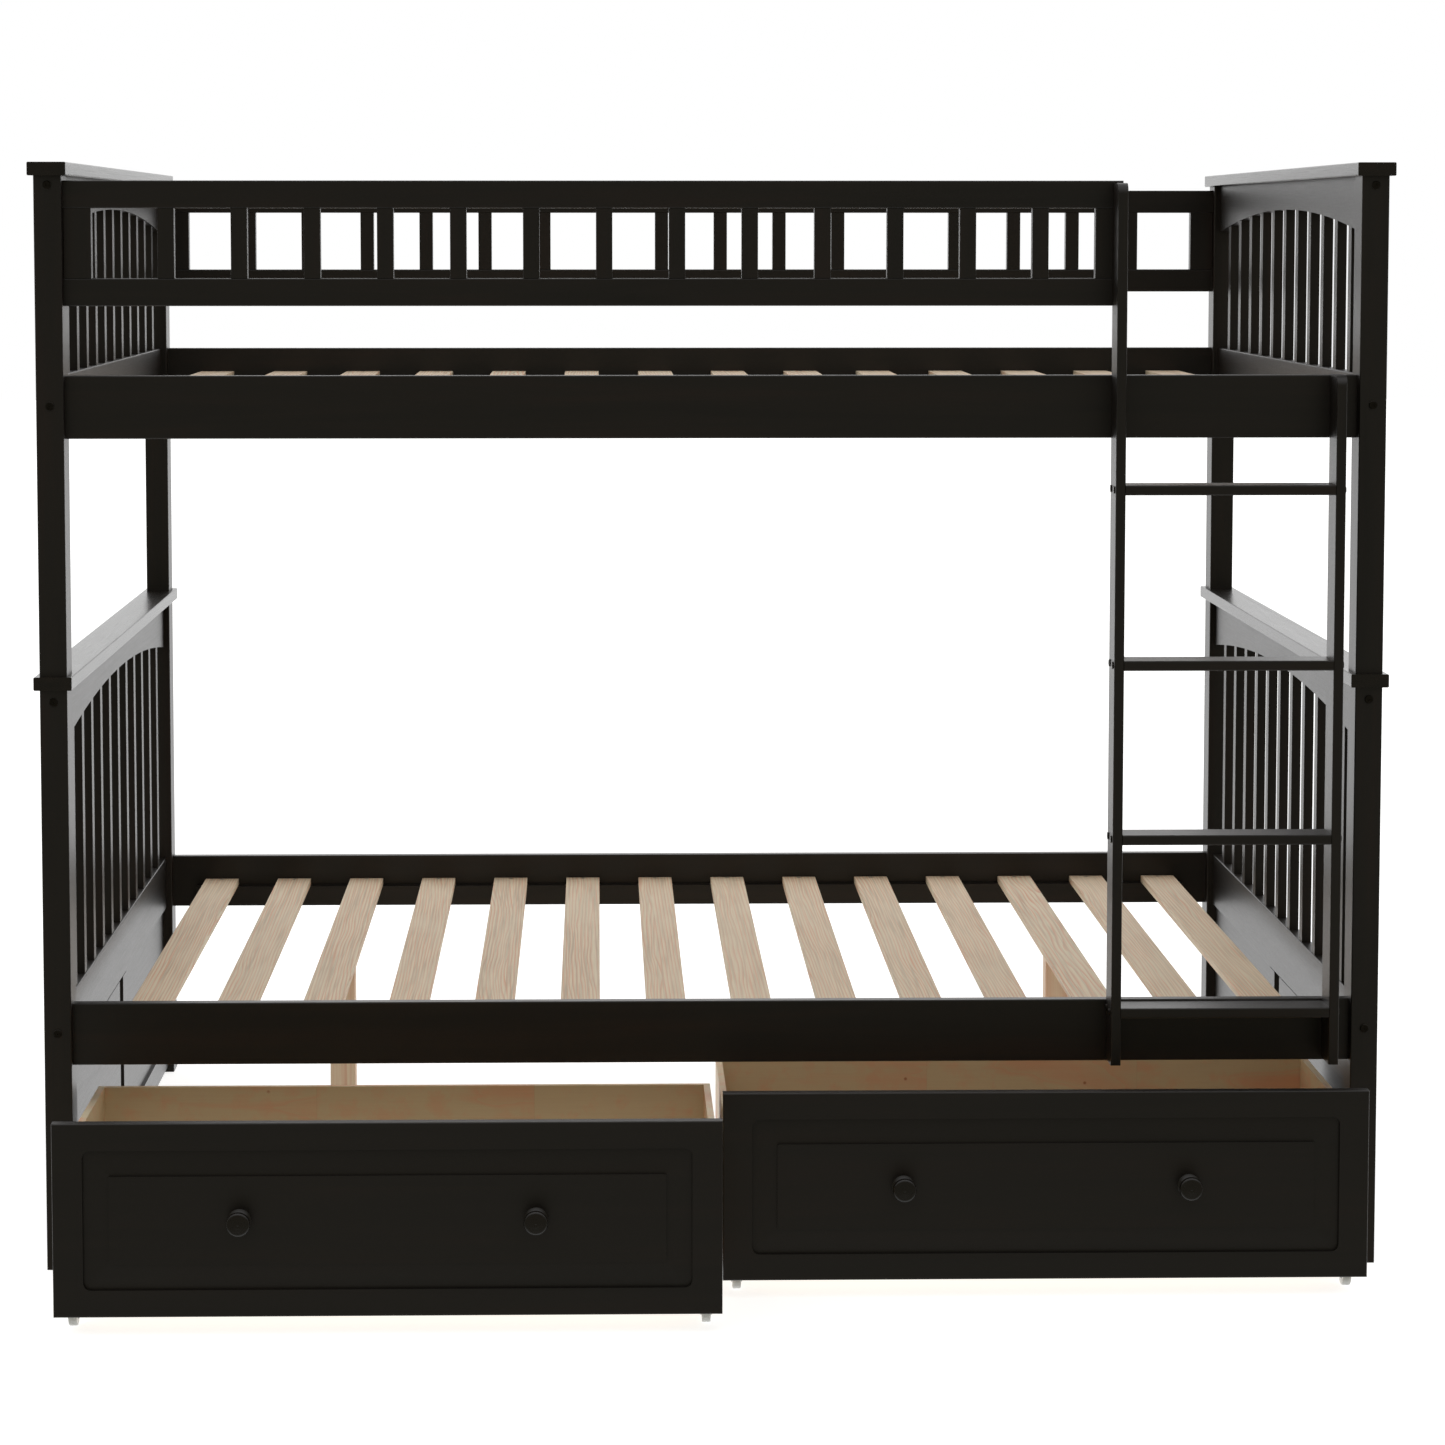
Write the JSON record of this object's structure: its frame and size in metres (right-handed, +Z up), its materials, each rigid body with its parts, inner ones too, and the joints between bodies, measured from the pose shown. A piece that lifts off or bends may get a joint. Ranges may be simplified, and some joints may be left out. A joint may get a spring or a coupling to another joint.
{
  "type": "bunk bed with ladder",
  "caption": "Stacked full-size beds with arched slatted ends, guard rails, a fixed upright ladder, slatted decks and rolling under-bed drawers.",
  "frame": {"origin": "on the floor, in the middle of the footprint with the drawers at rest", "axes": "+X along the mattresses towards the ladder, +Y from the open front to the back, +Z up"},
  "size_m": [2.027, 1.835, 1.665],
  "materials": {
    "espresso_posts": "satin espresso lacquer over vertical grain",
    "espresso_caps": "satin espresso lacquer, grain front to back",
    "espresso_boards_y": "satin espresso lacquer, grain front to back",
    "espresso_boards_x": "satin espresso lacquer, grain along the bed",
    "espresso_uprights": "satin espresso lacquer over vertical grain",
    "espresso_panels": "satin espresso lacquer on thin board",
    "espresso_fronts": "satin espresso lacquer on routed board",
    "espresso_knobs": "satin espresso lacquer on turned wood",
    "pine_slats": "planed, unfinished pine",
    "pine_legs": "planed, unfinished pine",
    "drawer_boards": "planed, clear-sealed softwood with a reddish figure",
    "drawer_plywood": "sanded plywood",
    "black_steel": "black oxide",
    "zinc_steel": "bright zinc plate",
    "nylon": "moulded translucent nylon"
  },
  "bodies": {
    "bed_frame": {"lower_front_left_post": "espresso_posts", "lower_front_right_post": "espresso_posts", "lower_back_left_post": "espresso_posts", "lower_back_right_post": "espresso_posts", "lower_left_cap": "espresso_caps", "lower_left_arched_rail": "espresso_boards_y", "lower_left_cross_rail": "espresso_boards_y", "lower_right_cap": "espresso_caps", "lower_right_arched_rail": "espresso_boards_y", "lower_right_cross_rail": "espresso_boards_y", "lower_spindles": "espresso_uprights", "lower_front_side_rail": "espresso_boards_x", "lower_back_side_rail": "espresso_boards_x", "lower_slats": "pine_slats", "upper_front_left_post": "espresso_posts", "upper_front_right_post": "espresso_posts", "upper_back_left_post": "espresso_posts", "upper_back_right_post": "espresso_posts", "upper_left_cap": "espresso_caps", "upper_left_arched_rail": "espresso_boards_y", "upper_left_cross_rail": "espresso_boards_y", "upper_right_cap": "espresso_caps", "upper_right_arched_rail": "espresso_boards_y", "upper_right_cross_rail": "espresso_boards_y", "upper_spindles": "espresso_uprights", "upper_front_side_rail": "espresso_boards_x", "upper_back_side_rail": "espresso_boards_x", "upper_slats": "pine_slats", "slat_ledgers": "espresso_boards_x", "centre_support_legs": "pine_legs", "skirt_boards": "espresso_boards_y", "skirt_panels": "espresso_panels", "front_guard_rails": "espresso_boards_x", "front_guard_uprights": "espresso_uprights", "back_guard_rails": "espresso_boards_x", "back_guard_uprights": "espresso_uprights", "ladder_stiles": "espresso_posts", "ladder_rungs": "espresso_boards_x", "bed_bolts": "black_steel", "barrel_nuts": "zinc_steel", "stacking_pins": "zinc_steel", "slat_screws": "zinc_steel"},
    "left_drawer": {"left_drawer_front": "espresso_fronts", "left_drawer_box_boards": "drawer_boards", "left_drawer_bottom": "drawer_plywood", "left_drawer_knobs": "espresso_knobs", "left_drawer_hardware": "zinc_steel"},
    "right_drawer": {"right_drawer_front": "espresso_fronts", "right_drawer_box_boards": "drawer_boards", "right_drawer_bottom": "drawer_plywood", "right_drawer_knobs": "espresso_knobs", "right_drawer_hardware": "zinc_steel"},
    "left_drawer_front_left_wheel": {"left_drawer_front_left_wheel": "nylon"},
    "left_drawer_front_right_wheel": {"left_drawer_front_right_wheel": "nylon"},
    "left_drawer_back_left_wheel": {"left_drawer_back_left_wheel": "nylon"},
    "left_drawer_back_right_wheel": {"left_drawer_back_right_wheel": "nylon"},
    "right_drawer_front_left_wheel": {"right_drawer_front_left_wheel": "nylon"},
    "right_drawer_front_right_wheel": {"right_drawer_front_right_wheel": "nylon"},
    "right_drawer_back_left_wheel": {"right_drawer_back_left_wheel": "nylon"},
    "right_drawer_back_right_wheel": {"right_drawer_back_right_wheel": "nylon"}
  },
  "joints": [
    {"name": "left_drawer_slide", "type": "slide", "parent": "bed_frame", "child": "left_drawer", "axis": [0, -1, 0], "range_m": [-0.353, 0.127]},
    {"name": "right_drawer_slide", "type": "slide", "parent": "bed_frame", "child": "right_drawer", "axis": [0, -1, 0], "range_m": [-0.177, 0.303]},
    {"name": "left_front_left_wheel_spin", "type": "hinge", "parent": "left_drawer", "child": "left_drawer_front_left_wheel", "pos_m": [-0.925, -0.8325, 0.018], "axis": [1, 0, 0], "continuous": true},
    {"name": "left_front_right_wheel_spin", "type": "hinge", "parent": "left_drawer", "child": "left_drawer_front_right_wheel", "pos_m": [-0.019, -0.8325, 0.018], "axis": [1, 0, 0], "continuous": true},
    {"name": "left_back_left_wheel_spin", "type": "hinge", "parent": "left_drawer", "child": "left_drawer_back_left_wheel", "pos_m": [-0.925, -0.4485, 0.018], "axis": [1, 0, 0], "continuous": true},
    {"name": "left_back_right_wheel_spin", "type": "hinge", "parent": "left_drawer", "child": "left_drawer_back_right_wheel", "pos_m": [-0.019, -0.4485, 0.018], "axis": [1, 0, 0], "continuous": true},
    {"name": "right_front_left_wheel_spin", "type": "hinge", "parent": "right_drawer", "child": "right_drawer_front_left_wheel", "pos_m": [0.031, -0.6565, 0.018], "axis": [1, 0, 0], "continuous": true},
    {"name": "right_front_right_wheel_spin", "type": "hinge", "parent": "right_drawer", "child": "right_drawer_front_right_wheel", "pos_m": [0.937, -0.6565, 0.018], "axis": [1, 0, 0], "continuous": true},
    {"name": "right_back_left_wheel_spin", "type": "hinge", "parent": "right_drawer", "child": "right_drawer_back_left_wheel", "pos_m": [0.031, -0.2725, 0.018], "axis": [1, 0, 0], "continuous": true},
    {"name": "right_back_right_wheel_spin", "type": "hinge", "parent": "right_drawer", "child": "right_drawer_back_right_wheel", "pos_m": [0.937, -0.2725, 0.018], "axis": [1, 0, 0], "continuous": true}
  ],
  "couplings": [
    {"joint": "left_front_left_wheel_spin", "follows": "left_drawer_slide", "rad_per_m": 55.556},
    {"joint": "left_front_right_wheel_spin", "follows": "left_drawer_slide", "rad_per_m": 55.556},
    {"joint": "left_back_left_wheel_spin", "follows": "left_drawer_slide", "rad_per_m": 55.556},
    {"joint": "left_back_right_wheel_spin", "follows": "left_drawer_slide", "rad_per_m": 55.556},
    {"joint": "right_front_left_wheel_spin", "follows": "right_drawer_slide", "rad_per_m": 55.556},
    {"joint": "right_front_right_wheel_spin", "follows": "right_drawer_slide", "rad_per_m": 55.556},
    {"joint": "right_back_left_wheel_spin", "follows": "right_drawer_slide", "rad_per_m": 55.556},
    {"joint": "right_back_right_wheel_spin", "follows": "right_drawer_slide", "rad_per_m": 55.556}
  ]
}
